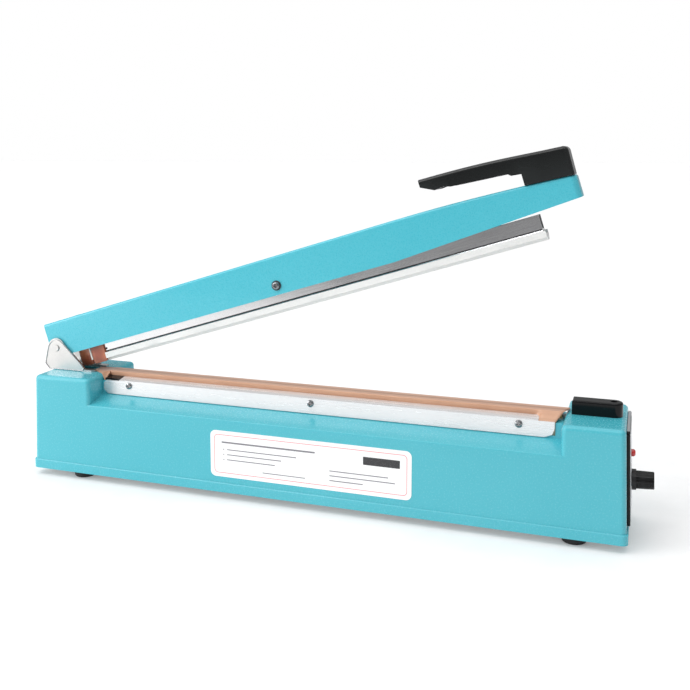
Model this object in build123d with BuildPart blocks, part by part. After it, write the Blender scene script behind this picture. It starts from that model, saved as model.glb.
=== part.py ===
from build123d import *
import math
import os

# Impulse heat sealer, hand operated, 400 mm class.
# +X runs from the hinge to the control panel, -Y is the labelled front, +Z is up.
# z = 0 is the surface the feet stand on; the origin is under the middle of the bounding box.

# ---------------------------------------------------------------- driving dimensions (mm)
OX = -5.57            # shift that centres the whole machine on x = 0
BX0, BX1 = -272.0, 270.0   # end walls at the foot of the base
L = BX1 - BX0         # base length at its foot
D = 80.0              # base depth
ZB = 7.0              # underside of the base
H = 97.0              # top of the two end towers
DRAFT = 2.0           # draft of the end walls, degrees
WALL = 2.5            # casting wall
RX0, RX1 = -209.0, 219.0   # inner walls of the left and right tower
ZR = 72.5             # front edge of the saddle between the towers
DECK_Z = 91.5         # flat deck that carries the sealing bed
DECK_Y = 17.0         # half width of that deck
LIP_H, LIP_T = 8.5, 1.2

BED_X0, BED_X1 = -199.0, 208.0
CLOTH_T = 0.2
BED_TOP = 98.1

PIN_X, PIN_Z = -262.4, 118.0
PIN_R = 2.5
OPEN = 17.44          # opening angle of the arm in the stored pose, degrees

ARM_HW = 12.0         # half width of the arm channel
ARM_T = 1.8
ARM_TOP = 25.0        # arm-frame height of the channel's top face
ARM_BOT = -8.9        # arm-frame height of the flange edges
ARM_X0, ARM_X1 = -8.5, 514.0
PIV_X, PIV_Z = 242.6, -0.5   # rocking pivot of the pressure bar, arm frame

BAR_X0, BAR_X1 = 47.6, 477.0
SIL_BOT = -25.3       # working face of the silicone strip, arm frame

TH = math.radians(OPEN)
C, S = math.cos(TH), math.sin(TH)
DR = math.radians(DRAFT)


# ---------------------------------------------------------------- reference planes
def top(x, y, z):
    return Plane(origin=(OX + x, y, z), x_dir=(1, 0, 0), z_dir=(0, 0, 1))


def under(x, y, z):
    return Plane(origin=(OX + x, y, z), x_dir=(1, 0, 0), z_dir=(0, 0, -1))


def front(x, y, z):
    return Plane(origin=(OX + x, y, z), x_dir=(1, 0, 0), z_dir=(0, -1, 0))


def back(x, y, z):
    return Plane(origin=(OX + x, y, z), x_dir=(-1, 0, 0), z_dir=(0, 1, 0))


def section(x):
    return Plane(origin=(OX + x, 0, 0), x_dir=(0, 1, 0), z_dir=(1, 0, 0))


def arm_pt(a, y, b):
    return (OX + PIN_X + a * C - b * S, y, PIN_Z + a * S + b * C)


def arm_side(y=0.0):
    return Plane(origin=arm_pt(0, y, 0), x_dir=(C, 0, S), z_dir=(0, -1, 0))


def arm_section(a):
    return Plane(origin=arm_pt(a, 0, 0), x_dir=(0, 1, 0), z_dir=(C, 0, S))


def arm_up(a, y, b):
    return Plane(origin=arm_pt(a, y, b), x_dir=(C, 0, S), z_dir=(-S, 0, C))


def arm_down(a, y, b):
    return Plane(origin=arm_pt(a, y, b), x_dir=(C, 0, S), z_dir=(S, 0, -C))


def arm_front(a, y, b):
    return Plane(origin=arm_pt(a, y, b), x_dir=(C, 0, S), z_dir=(0, -1, 0))


def arm_back(a, y, b):
    return Plane(origin=arm_pt(a, y, b), x_dir=(-C, 0, -S), z_dir=(0, 1, 0))


def panel(u=0.0, v=0.0, w=0.0):
    # u across (+Y), v up along the drafted right-hand end wall, w outward from it
    o = (OX + BX1 - v * math.sin(DR) + w * math.cos(DR), u, ZB + v * math.cos(DR) + w * math.sin(DR))
    return Plane(origin=o, x_dir=(0, 1, 0), z_dir=(math.cos(DR), 0, math.sin(DR)))


def ribbon(pts, t0, t1):
    # closed outline of a bent sheet lying between offsets t0 and t1 to the left of a polyline
    def off(t):
        out = []
        n = len(pts)
        for i in range(n):
            ns = []
            if i > 0:
                dx, dy = pts[i][0] - pts[i - 1][0], pts[i][1] - pts[i - 1][1]
                m = math.hypot(dx, dy)
                ns.append((-dy / m, dx / m))
            if i < n - 1:
                dx, dy = pts[i + 1][0] - pts[i][0], pts[i + 1][1] - pts[i][1]
                m = math.hypot(dx, dy)
                ns.append((-dy / m, dx / m))
            nx = sum(q[0] for q in ns) / len(ns)
            ny = sum(q[1] for q in ns) / len(ns)
            k = 1.0 / (nx * nx + ny * ny)
            out.append((pts[i][0] + nx * k * t, pts[i][1] + ny * k * t))
        return out
    return off(t0) + off(t1)[::-1]


def screw(pln, head_r, head_h, shank_r, length, recess=0.9):
    # pan-head screw with a cross recess: head above the plane, shank below it
    with BuildPart() as s:
        with BuildSketch(Plane.XZ):
            with BuildLine():
                Polyline((0, -length), (shank_r - 0.4, -length), (shank_r, -length + 0.4), (shank_r, 0),
                         (head_r, 0), (head_r, head_h * 0.4), (head_r * 0.88, head_h * 0.75),
                         (head_r * 0.6, head_h), (0, head_h), close=True)
            make_face()
        revolve(axis=Axis.Z)
        if recess:
            with BuildSketch(Plane.XY.offset(head_h)):
                Rectangle(head_r * 1.1, head_r * 0.3)
                Rectangle(head_r * 0.3, head_r * 1.1)
            extrude(amount=-recess, mode=Mode.SUBTRACT)
    return s.part.moved(pln.location)


def near(v, lo, hi):
    return lo <= v <= hi


FEET = [(-225.0, -26.0), (-225.0, 26.0), (230.0, -26.0), (230.0, 26.0)]
CLAMP_X = (-179.5, 3.0, 183.5)
CLAMP_Z = 88.4
STRIP_X0, STRIP_X1 = -207.0, 212.0

# ================================================================ BASE
# cast housing: two towers joined by a saddle, open underneath
with BuildPart() as base_housing:
    with BuildSketch(front(0, 0, 0)):
        with BuildLine():
            t = math.tan(DR) * (H - ZB)
            Polyline((BX0, ZB), (BX1, ZB), (BX1 - t, H), (RX1, H), (RX1, DECK_Z), (RX0, DECK_Z),
                     (RX0, H), (BX0 + t, H), close=True)
        make_face()
    extrude(amount=D / 2, both=True)
    # front and rear slopes of the saddle
    for s in (-1, 1):
        with BuildSketch(section(RX0)):
            with BuildLine():
                Polyline((s * (D / 2 + 1), ZR - 0.3), (s * DECK_Y, 79.0), (s * DECK_Y, H + 1), (s * (D / 2 + 1), H + 1), close=True)
            make_face()
        extrude(amount=RX1 - RX0, mode=Mode.SUBTRACT)
    # rounded tower rims and upright corners, inner ones included
    rim = base_housing.edges().filter_by(lambda e: near(e.center().Z, H - 0.2, H + 0.2))
    up = base_housing.edges().filter_by(lambda e: e.length > 80 and abs(e.center().X - OX) > 260 and near(e.center().Z, 40, 70))
    inner = base_housing.edges().filter_by(Axis.Z).filter_by(lambda e: near(abs(e.center().Y), D / 2 - 0.1, D / 2 + 0.1) and (near(e.center().X - OX, RX0 - 0.1, RX0 + 0.1) or near(e.center().X - OX, RX1 - 0.1, RX1 + 0.1)))
    fillet(list(rim) + list(up) + list(inner), radius=4.0)
    edge = base_housing.edges().filter_by(Axis.X).filter_by(lambda e: near(e.center().Z, ZR - 1.5, ZR + 1.5) and e.length > 300)
    fillet(edge, radius=1.5)
    # bottom lip
    with BuildSketch(top((BX0 + BX1) / 2, 0, ZB)):
        RectangleRounded(L + 2 * LIP_T, D + 2 * LIP_T, 5.0)
    extrude(amount=LIP_H)
    lip = base_housing.edges().filter_by(lambda e: near(e.center().Z, ZB + LIP_H - 0.05, ZB + LIP_H + 0.05) and (abs(e.center().Y) > D / 2 + 0.9 or abs(e.center().X - OX - (BX0 + BX1) / 2) > L / 2 + 0.9))
    chamfer(lip, length=0.8)
    # cavity
    zi = ZB - 1
    with BuildSketch(front(0, 0, 0)):
        with BuildLine():
            t = math.tan(DR) * (H - ZB)
            Polyline((BX0 + WALL, zi), (BX1 - WALL, zi), (BX1 - WALL - t, H - WALL), (RX1 + WALL, H - WALL),
                     (RX1 + WALL, ZR - WALL), (RX0 - WALL, ZR - WALL), (RX0 - WALL, H - WALL), (BX0 + WALL + t, H - WALL), close=True)
        make_face()
    extrude(amount=D / 2 - WALL, both=True, mode=Mode.SUBTRACT)
    with BuildSketch(section(RX0 - WALL - 0.5)):
        with BuildLine():
            yi = DECK_Y - WALL
            Polyline((-D / 2 + WALL, ZR - WALL - 1), (-D / 2 + WALL, ZR - WALL), (-yi, 76.5), (-yi, DECK_Z - WALL),
                     (yi, DECK_Z - WALL), (yi, 76.5), (D / 2 - WALL, ZR - WALL), (D / 2 - WALL, ZR - WALL - 1), close=True)
        make_face()
    extrude(amount=RX1 - RX0 + 2 * WALL + 1, mode=Mode.SUBTRACT)
    # screw posts above the feet
    for x, y in FEET:
        with BuildSketch(top(x, y, 8.7)):
            Circle(5.0)
        extrude(amount=H - WALL - 8.7 + 0.5)
        with BuildSketch(top(x, y, 8.7)):
            Circle(1.65)
        extrude(amount=18, mode=Mode.SUBTRACT)
    # threaded holes for the two clamp strips
    for x in CLAMP_X:
        for s in (-1, 1):
            with BuildSketch(front(x, 0, CLAMP_Z)):
                Circle(1.6)
            extrude(amount=20 * -s, mode=Mode.SUBTRACT)
    # bed screw holes, lead-through holes for the element terminals
    for x in (-150, 5, 160):
        with BuildSketch(top(x, 0, DECK_Z + 0.5)):
            Circle(1.65)
        extrude(amount=-5, mode=Mode.SUBTRACT)
    for x in (-204.0, 213.0):
        with BuildSketch(top(x, 0, DECK_Z + 0.5)):
            Circle(2.6)
        extrude(amount=-5, mode=Mode.SUBTRACT)
    # slot for the switch pusher and the bracket screw holes in the left tower
    with BuildSketch(top(-238.5, 0, H + 0.5)):
        RectangleRounded(18.0, 13.0, 2.0)
    extrude(amount=-6, mode=Mode.SUBTRACT)
    for y in (-7.0, 7.0):
        with BuildSketch(top(-257.5, y, H + 0.5)):
            Circle(1.65)
        extrude(amount=-5, mode=Mode.SUBTRACT)
    # guide block screw hole in the right tower
    with BuildSketch(top(256.3, 0, H + 0.5)):
        Circle(1.65)
    extrude(amount=-5, mode=Mode.SUBTRACT)
    # control panel openings: lamp above, timer shaft below
    for v, r in ((61.0, 4.6), (39.2, 5.1)):
        with BuildSketch(panel(0, v, 1)):
            Circle(r)
        extrude(amount=-6, mode=Mode.SUBTRACT)
    # cord entry in the rear wall
    with BuildSketch(back(215.0, D / 2 + 2, 26.0)):
        Circle(6.0)
    extrude(amount=-6, mode=Mode.SUBTRACT)

# steel bottom plate
with BuildPart() as bottom_plate:
    with BuildSketch(top((BX0 + BX1) / 2, 0, ZB)):
        RectangleRounded(L - 2 * WALL - 1.0, D - 2 * WALL - 1.0, 2.0)
        with Locations(*[(x - (BX0 + BX1) / 2, y) for x, y in FEET]):
            Circle(2.2, mode=Mode.SUBTRACT)
        with Locations((36.5, 0), (115.5, 0)):
            Circle(2.0, mode=Mode.SUBTRACT)
        with Locations(*[(x, 0) for x in range(-150, 0, 10)]):
            SlotOverall(30, 4, rotation=90, mode=Mode.SUBTRACT)
    extrude(amount=1.6)

# four rubber feet and the screws that hold feet and bottom plate
with BuildPart() as rubber_feet:
    for x, y in FEET:
        with BuildSketch(top(x, y, ZB)):
            Circle(10.5)
        extrude(amount=-ZB, taper=6)
    fillet(rubber_feet.edges().filter_by(lambda e: e.center().Z < 0.1), radius=1.5)
    for x, y in FEET:
        with BuildSketch(top(x, y, 0)):
            Circle(4.6)
        extrude(amount=4.0, mode=Mode.SUBTRACT)
        with BuildSketch(top(x, y, 0)):
            Circle(2.2)
        extrude(amount=8.0, mode=Mode.SUBTRACT)
with BuildPart() as foot_screws:
    for x, y in FEET:
        add(screw(under(x, y, 4.0), 3.8, 2.4, 1.6, 16.0, 1.2))

# ---------------------------------------------------------------- sealing bed
with BuildPart() as sealing_bed:
    with BuildSketch(section(BED_X0)):
        with BuildLine():
            Polyline((-16.6, DECK_Z), (-16.6, 91.9), (-7.0, 93.5), (-7.0, BED_TOP), (7.0, BED_TOP), (7.0, 93.5),
                     (16.6, 91.9), (16.6, DECK_Z), close=True)
        make_face()
    extrude(amount=BED_X1 - BED_X0)
    with BuildSketch(top(BED_X0 + 3.3, -12.0, DECK_Z)):
        Rectangle(10.6, 10.0)
    extrude(amount=4, mode=Mode.SUBTRACT)
    for x in (-150, 5, 160):
        with BuildSketch(top(x, 0, BED_TOP)):
            Circle(3.4)
        extrude(amount=-3.0, mode=Mode.SUBTRACT)
        with BuildSketch(top(x, 0, BED_TOP)):
            Circle(1.75)
        extrude(amount=-9.0, mode=Mode.SUBTRACT)
with BuildPart() as bed_screws:
    for x in (-150, 5, 160):
        add(screw(top(x, 0, BED_TOP - 3.0), 3.1, 2.2, 1.6, 6.5, 1.0))
# insulating tape under the element
with BuildPart() as insulation_strip:
    with BuildSketch(top((BED_X0 + BED_X1) / 2, 0, BED_TOP)):
        Rectangle(BED_X1 - BED_X0, 12.0)
    extrude(amount=0.15)
# nichrome ribbon, bent down to its terminals at both ends
with BuildPart() as heating_element:
    with BuildSketch(front(0, 1.5, 0)):
        with BuildLine():
            z = BED_TOP + 0.15
            Polyline(*ribbon([(-201.2, 96.6), (BED_X0 - 0.3, z + 0.01), (BED_X1 + 0.3, z + 0.01), (210.2, 96.6)], 0.0, 0.12), close=True)
        make_face()
    extrude(amount=3.0)
with BuildPart() as element_terminals:
    for x0, x1 in ((-207.0, -201.2), (210.2, 216.0)):
        with BuildSketch(top((x0 + x1) / 2, 0, DECK_Z + 0.8)):
            Rectangle(x1 - x0, 10.0)
        extrude(amount=4.3)
        with BuildSketch(top((x0 + x1) / 2 + (0.1 if x0 < 0 else -0.1), 0, DECK_Z + 0.8)):
            Circle(2.0)
        extrude(amount=-14.0)
with BuildPart() as terminal_bushes:
    for x in (-204.0, 213.0):
        with BuildSketch(top(x, 0, DECK_Z)):
            Rectangle(7.6, 12.0)
            Circle(2.15, mode=Mode.SUBTRACT)
        extrude(amount=0.8)
        with BuildSketch(top(x, 0, DECK_Z)):
            Circle(2.55)
            Circle(2.15, mode=Mode.SUBTRACT)
        extrude(amount=-5.0)
# black insulating pad at the hinge end of the front shoulder
with BuildPart() as element_insulator:
    with BuildSketch(section(-206.5)):
        with BuildLine():
            Polyline((-16.4, DECK_Z), (-16.4, 93.6), (-7.6, 94.6), (-7.6, DECK_Z), close=True)
        make_face()
    extrude(amount=15.6)

# coated cloth folded over the bed, with a flat tongue at each end
CLOTH = [(-17.0, 81.0), (-17.0, 91.86), (-7.0, 93.52), (-7.0, BED_TOP + 0.3), (7.0, BED_TOP + 0.3), (7.0, 93.52), (17.0, 91.86), (17.0, 81.0)]
with BuildPart() as ptfe_cloth:
    with BuildSketch(section(-190.0)):
        with BuildLine():
            Polyline(*ribbon(CLOTH, 0.0, CLOTH_T), close=True)
        make_face()
    extrude(amount=400.0)
    with BuildSketch(section(-199.0)):
        with BuildLine():
            Polyline(*ribbon(CLOTH[3:5], 0.0, CLOTH_T), close=True)
        make_face()
    extrude(amount=409.0)
    with BuildSketch(top(0, 0, BED_TOP + 0.3)):
        with BuildLine():
            Polyline((-226.0, 6.8), (-226.0, 2.0), (-212.0, -7.0), (216.0, -7.0), (222.0, 3.0), (222.0, 6.8), close=True)
        make_face()
    extrude(amount=CLOTH_T)
    for x in CLAMP_X:
        with BuildSketch(front(x, 0, CLAMP_Z)):
            Circle(1.8)
        extrude(amount=20, both=True, mode=Mode.SUBTRACT)

# stainless angle strips that clamp the cloth
STRIP_PATH = [(-17.2, 79.4), (-17.2, 92.07), (-8.0, 93.62)]
for name in ("front", "rear"):
    m = 1 if name == "front" else -1
    with BuildPart() as strip:
        leg_y = -17.2 * m
        with BuildSketch(front(0, leg_y if m > 0 else leg_y + 1.0, 0)):
            with BuildLine():
                Polyline((STRIP_X0 + 4.5, 79.4), (204.0, 79.4), (210.2, 82.0), (STRIP_X1, 86.5), (STRIP_X1, 92.4),
                         (STRIP_X0 + 3.0, 92.4), (STRIP_X0, 89.6), (STRIP_X0, 83.6), close=True)
            make_face()
        extrude(amount=1.0)
        with BuildSketch(section(-190.5)):
            with BuildLine():
                Polyline(*[(a * m, b) for a, b in ribbon(STRIP_PATH, 0.0, 1.0)], close=True)
            make_face()
        extrude(amount=389.5)
        with BuildSketch(front(0, 0, 0)):
            with BuildLine():
                Polyline((-250, 70), (STRIP_X0 + 4.5, 79.4), (STRIP_X0, 83.6), (-250, 83.6), close=True)
            make_face()
        extrude(amount=30, both=True, mode=Mode.SUBTRACT)
        for x in CLAMP_X:
            with BuildSketch(front(x, 0, CLAMP_Z)):
                Circle(1.8)
            extrude(amount=20, both=True, mode=Mode.SUBTRACT)
    if name == "front":
        front_clamp_strip = strip
    else:
        rear_clamp_strip = strip
with BuildPart() as clamp_screws_front:
    for x in CLAMP_X:
        add(screw(front(x, -18.2, CLAMP_Z), 3.1, 1.7, 1.55, 6.5))
with BuildPart() as clamp_screws_rear:
    for x in CLAMP_X:
        add(screw(back(x, 18.2, CLAMP_Z), 3.1, 1.7, 1.55, 6.5))

# ---------------------------------------------------------------- hinge
EAR_IN, EAR_OUT = ARM_HW + 0.3, ARM_HW + 2.1
with BuildPart() as hinge_bracket:
    for s in (-1, 1):
        with BuildSketch(front(0, -EAR_IN if s < 0 else EAR_OUT, 0)):
            with BuildLine():
                a = Polyline((-257.5, H), (-271.0, H), (-275.6, 102.4), (-271.6, 119.6))
                b = ThreePointArc((-271.6, 119.6), (-262.6, 127.6), (-253.8, 122.2))
                c = Polyline((-253.8, 122.2), (-233.4, 102.6), (-231.2, 99.4), (-236.5, H), (-257.5, H))
            make_face()
        extrude(amount=EAR_OUT - EAR_IN)
    with BuildSketch(top(0, 0, H)):
        with BuildLine():
            Polyline((-271.0, -EAR_OUT), (-223.5, -EAR_OUT), (-221.5, -12.0), (-221.5, -8.0), (-248.6, -8.0), (-248.6, 8.0),
                     (-221.5, 8.0), (-221.5, 12.0), (-223.5, EAR_OUT), (-271.0, EAR_OUT), close=True)
        make_face()
    extrude(amount=1.8)
    with BuildSketch(front(PIN_X, 0, PIN_Z)):
        Circle(PIN_R + 0.04)
    extrude(amount=20, both=True, mode=Mode.SUBTRACT)
    for y in (-7.0, 7.0):
        with BuildSketch(top(-257.5, y, H - 0.5)):
            Circle(1.8)
        extrude(amount=4, mode=Mode.SUBTRACT)
with BuildPart() as bracket_screws:
    for y in (-7.0, 7.0):
        add(screw(top(-257.5, y, H + 1.8), 3.0, 1.8, 1.6, 8.0))
with BuildPart() as hinge_pin:
    with BuildSketch(front(PIN_X, 16.6, PIN_Z)):
        Circle(PIN_R)
    extrude(amount=16.6 + EAR_OUT)
    with BuildSketch(front(PIN_X, -EAR_OUT, PIN_Z)):
        Circle(3.4)
    extrude(amount=1.0, taper=25)
    with BuildSketch(front(PIN_X, EAR_OUT + 1.1, PIN_Z)):
        Circle(PIN_R + 1)
        Circle(PIN_R - 0.5, mode=Mode.SUBTRACT)
    extrude(amount=0.9, mode=Mode.SUBTRACT)
with BuildPart() as pin_clip:
    with BuildSketch(front(PIN_X, EAR_OUT + 1.05, PIN_Z)):
        Circle(4.6)
        Circle(PIN_R - 0.45, mode=Mode.SUBTRACT)
        with Locations((4.0, 0)):
            Rectangle(5.0, 3.2, mode=Mode.SUBTRACT)
    extrude(amount=0.8)
# torsion spring round the pin, one leg on the bracket, one leg under the arm's top
WR = 0.8
with BuildPart() as torsion_spring:
    with BuildLine() as hx:
        Helix(pitch=2.3, height=9.2, radius=4.6, center=(OX + PIN_X, -4.6, PIN_Z), direction=(0, 1, 0))
    with BuildSketch(Plane(origin=hx.line @ 0, z_dir=hx.line % 0)):
        Circle(WR)
    sweep(path=hx.line, is_frenet=True)

# ---------------------------------------------------------------- stop block on the right tower
with BuildPart() as guide_block:
    with BuildSketch(top(0, 0, H)):
        with BuildLine():
            Line((256.7, -7.0), (224.0, -7.0))
            Line((224.0, -7.0), (224.0, 7.0))
            Line((224.0, 7.0), (256.7, 7.0))
            ThreePointArc((256.7, 7.0), (263.4, 0), (256.7, -7.0))
        make_face()
    extrude(amount=11.6)
    fillet(guide_block.edges().filter_by(lambda e: e.center().Z > H + 11.5), radius=1.6)
    with BuildSketch(top(256.3, 0, H + 11.6)):
        Circle(2.7)
    extrude(amount=-9.6, mode=Mode.SUBTRACT)
    with BuildSketch(top(256.3, 0, H)):
        Circle(1.75)
    extrude(amount=6, mode=Mode.SUBTRACT)
with BuildPart() as guide_block_screw:
    add(screw(top(256.3, 0, H + 2.0), 2.6, 1.8, 1.6, 8.5))

# ---------------------------------------------------------------- label and control panel
with BuildPart() as front_label:
    with BuildSketch(front(8.4, -D / 2, 42.0)):
        RectangleRounded(183.8, 41.8, 5.0)
    extrude(amount=0.25)
with BuildPart() as control_panel:
    with BuildSketch(panel(0, 49.0, 0)):
        RectangleRounded(60.0, 76.0, 3.0)
    extrude(amount=2.6)
    chamfer(control_panel.faces().sort_by(Axis.X)[-1].edges(), length=0.5)
    for v, r in ((61.0, 3.1), (39.2, 5.1)):
        with BuildSketch(panel(0, v, -1)):
            Circle(r)
        extrude(amount=5, mode=Mode.SUBTRACT)
with BuildPart() as scale_plate:
    with BuildSketch(panel(0, 49.0, 2.6)):
        RectangleRounded(54.0, 70.0, 2.0)
    extrude(amount=0.3)
    for v, r in ((61.0, 3.6), (39.2, 8.6)):
        with BuildSketch(panel(0, v, 2)):
            Circle(r)
        extrude(amount=3, mode=Mode.SUBTRACT)
with BuildPart() as lamp_lens:
    with BuildSketch(panel(0, 61.0, -3.0)):
        Circle(2.95)
    extrude(amount=9.2)
    fillet(lamp_lens.edges().sort_by(Axis.X)[-1], radius=2.0)
with BuildPart() as lamp_holder:
    with BuildSketch(panel(0, 61.0, -16.0)):
        Circle(4.4)
        Circle(3.0, mode=Mode.SUBTRACT)
    extrude(amount=15.9)
with BuildPart() as potentiometer:
    with BuildSketch(panel(0, 39.2, -12.8)):
        Circle(8.0)
    extrude(amount=10.0)
    with BuildSketch(panel(0, 39.2, -2.8)):
        Circle(3.6)
    extrude(amount=8.4)
    with BuildSketch(panel(0, 39.2, -10.0)):
        Circle(3.1)
    extrude(amount=18, mode=Mode.SUBTRACT)
with BuildPart() as pot_nut:
    with BuildSketch(panel(0, 39.2, 2.62)):
        RegularPolygon(5.4, 6)
        Circle(3.65, mode=Mode.SUBTRACT)
    extrude(amount=2.0)
with BuildPart() as timer_board:
    with BuildSketch(section(221.0)):
        with Locations((0, 42.0)):
            Rectangle(56.0, 52.0)
    extrude(amount=1.6)
with BuildPart() as board_components:
    with BuildSketch(section(222.6)):
        with Locations((-12.0, 52.0)):
            Rectangle(16.0, 20.0)
    extrude(amount=15.0)
    for y, z, r, h in ((12.0, 56.0, 5.0, 14.0), (14.0, 43.0, 4.0, 12.0), (-16.0, 34.0, 3.0, 8.0)):
        with BuildSketch(section(222.6)):
            with Locations((y, z)):
                Circle(r)
        extrude(amount=h)
with BuildPart() as board_brackets:
    for y in (-22.0, 22.0):
        with BuildSketch(front(0, y + 3.0, 0)):
            with BuildLine():
                Polyline((211.0, 8.6), (221.0, 8.6), (221.0, 30.0), (219.8, 30.0), (219.8, 9.8), (211.0, 9.8), close=True)
            make_face()
        extrude(amount=6.0)

# ---------------------------------------------------------------- transformer
TX = 75.0
with BuildPart() as transformer_core:
    with BuildSketch(front(TX, 14.0, 38.0)):
        Rectangle(66.0, 55.0)
        with Locations((-16.5, 0), (16.5, 0)):
            Rectangle(11.0, 33.0, mode=Mode.SUBTRACT)
    extrude(amount=28.0)
with BuildPart() as transformer_coil:
    with BuildSketch(top(TX, 0, 22.0)):
        RectangleRounded(43.0, 50.0, 6.0)
        Rectangle(22.4, 28.4, mode=Mode.SUBTRACT)
    extrude(amount=32.0)
with BuildPart() as transformer_strap:
    with BuildSketch(front(TX, 9.0, 0)):
        with BuildLine():
            Polyline(*ribbon([(-46.0, 8.6), (-33.0, 8.6), (-33.0, 65.5), (33.0, 65.5), (33.0, 8.6), (46.0, 8.6)], 0.0, 1.2), close=True)
        make_face()
    extrude(amount=18.0)
    with Locations(*[top(x, 0, 8.0) for x in (35.5, 114.5)]):
        Cylinder(2.0, 6.0, mode=Mode.SUBTRACT)
with BuildPart() as transformer_screws:
    for x in (35.5, 114.5):
        add(screw(top(x, 0, 9.8), 3.4, 2.2, 1.8, 2.7, 1.0))

# ---------------------------------------------------------------- sealing switch under the left tower
with BuildPart() as microswitch:
    with BuildSketch(front(-238.5, 5.2, 79.5)):
        Rectangle(27.8, 15.8)
        with Locations((-11.0, -3.0), (11.2, -3.0)):
            Circle(1.6, mode=Mode.SUBTRACT)
    extrude(amount=10.4)
    with BuildSketch(top(-238.5, 0, 87.4)):
        Circle(2.05)
    extrude(amount=-7.0, mode=Mode.SUBTRACT)
with BuildPart() as switch_plunger:
    with BuildSketch(top(-238.5, 0, 83.5)):
        Circle(2.0)
    extrude(amount=11.5)
    fillet(switch_plunger.edges().sort_by(Axis.Z)[-1], radius=0.8)
with BuildPart() as switch_bracket:
    with BuildSketch(section(-257.0)):
        with BuildLine():
            Polyline((5.2, 69.0), (5.2, 86.0), (6.6, 86.0), (6.6, 70.4), (D / 2 - WALL, 70.4), (D / 2 - WALL, 69.0), close=True)
        make_face()
    extrude(amount=25.0)

# rubber bush where a supply cord would enter
with BuildPart() as cord_grommet:
    with BuildSketch(back(215.0, D / 2, 26.0)):
        Circle(8.5)
    extrude(amount=1.2)
    with BuildSketch(back(215.0, D / 2, 26.0)):
        Circle(5.9)
    extrude(amount=-2.5)
    with BuildSketch(back(215.0, D / 2 - WALL, 26.0)):
        Circle(8.5)
    extrude(amount=-2.0)
    fillet(cord_grommet.edges().filter_by(lambda e: e.center().Y > D / 2 + 1.1), radius=0.6)
    with BuildSketch(back(215.0, D / 2 + 4, 26.0)):
        Circle(3.6)
    extrude(amount=-12, mode=Mode.SUBTRACT)

# ================================================================ ARM (built in the stored, open pose)
with BuildPart() as arm_channel:
    with BuildSketch(arm_side()):
        with BuildLine():
            Polyline((ARM_X0, ARM_TOP), (ARM_X0, 2.0), (2.0, ARM_BOT), (352.0, ARM_BOT), (ARM_X1, 0.5), (ARM_X1, 18.6))
            Spline((ARM_X1, 18.6), (470.0, 21.6), (429.0, 23.6), (360.0, ARM_TOP), tangents=((-1, 0.085), (-1, 0.0)))
            Line((360.0, ARM_TOP), (ARM_X0, ARM_TOP))
        make_face()
    extrude(amount=ARM_HW, both=True)
    ends = arm_channel.edges().filter_by(lambda e: e.center().X > OX + 200 and near(abs(e.center().Y), ARM_HW - 0.1, ARM_HW + 0.1) and e.length < 22)
    fillet(ends, radius=5.0)
    tops = arm_channel.edges().filter_by(lambda e: near(abs(e.center().Y), ARM_HW - 0.1, ARM_HW + 0.1) and e.length > 120 and e.center().Z > arm_pt((e.center().X - OX - PIN_X) / C, 0, 0)[2] + 8)
    fillet(tops, radius=2.2)
    with BuildSketch(arm_side()):
        with BuildLine():
            q = ARM_T
            Polyline((ARM_X0 - 5, ARM_TOP - q), (ARM_X0 - 5, -20), (ARM_X1 - q, -20), (ARM_X1 - q, 18.7 - q))
            Spline((ARM_X1 - q, 18.7 - q), (470.0, 21.6 - q), (429.0, 23.6 - q), (360.0, ARM_TOP - q), tangents=((-1, 0.085), (-1, 0.0)))
            Line((360.0, ARM_TOP - q), (ARM_X0 - 5, ARM_TOP - q))
        make_face()
    extrude(amount=ARM_HW - ARM_T, both=True, mode=Mode.SUBTRACT)
    with BuildSketch(arm_side()):
        Circle(PIN_R + 0.06)
        with Locations((PIV_X, PIV_Z)):
            Circle(2.1)
    extrude(amount=20, both=True, mode=Mode.SUBTRACT)
    for a in (482.0, 504.0):
        with BuildSketch(arm_up(a, 0, 10)):
            Circle(2.1)
        extrude(amount=20, mode=Mode.SUBTRACT)
    with BuildSketch(arm_up(23.5, 0, 10)):
        Circle(1.8)
    extrude(amount=20, mode=Mode.SUBTRACT)

# phenolic pusher that works the switch through the tower slot
with BuildPart() as switch_pusher:
    with BuildSketch(arm_side()):
        with BuildLine():
            Polyline((17.0, 23.15), (17.0, -23.0), (19.5, -25.0), (28.5, -25.0), (30.0, -23.0), (30.0, 23.15), close=True)
        make_face()
    extrude(amount=5.0, both=True)
    with BuildSketch(arm_up(23.5, 0, 24.0)):
        Circle(1.6)
    extrude(amount=-12, mode=Mode.SUBTRACT)
with BuildPart() as pusher_screw:
    add(screw(arm_up(23.5, 0, ARM_TOP), 3.0, 0.3, 1.55, 11.0, 0))

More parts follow.
